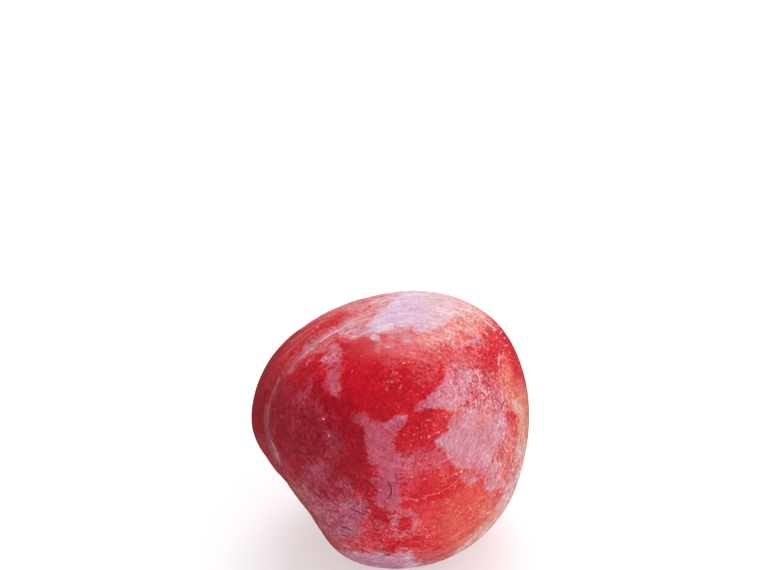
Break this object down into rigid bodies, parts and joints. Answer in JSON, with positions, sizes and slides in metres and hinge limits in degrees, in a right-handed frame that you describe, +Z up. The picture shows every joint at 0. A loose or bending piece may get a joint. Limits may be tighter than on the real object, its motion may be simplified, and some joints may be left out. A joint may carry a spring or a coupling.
{
  "type": "plum",
  "caption": "Ripe red dessert plum, whole and stalkless, lopsided and round with a suture groove running into a stem cavity, standing stem end down on a small flat.",
  "frame": {"origin": "middle of the footprint of the fruit's bounding box, on the surface it stands on", "axes": "+Z up, away from the surface; -Y towards the side seen in front, with the suture on the -X side; the stem end points down and to -X"},
  "size_m": [0.062, 0.065, 0.0611],
  "materials": {
    "plum_skin": "waxy smooth skin, crimson red mottled with pale lilac bloom and tiny gold dots, satin where the bloom lies and glossier where it is rubbed off"
  },
  "bodies": {
    "root": {"plum": "plum_skin"}
  },
  "joints": []
}
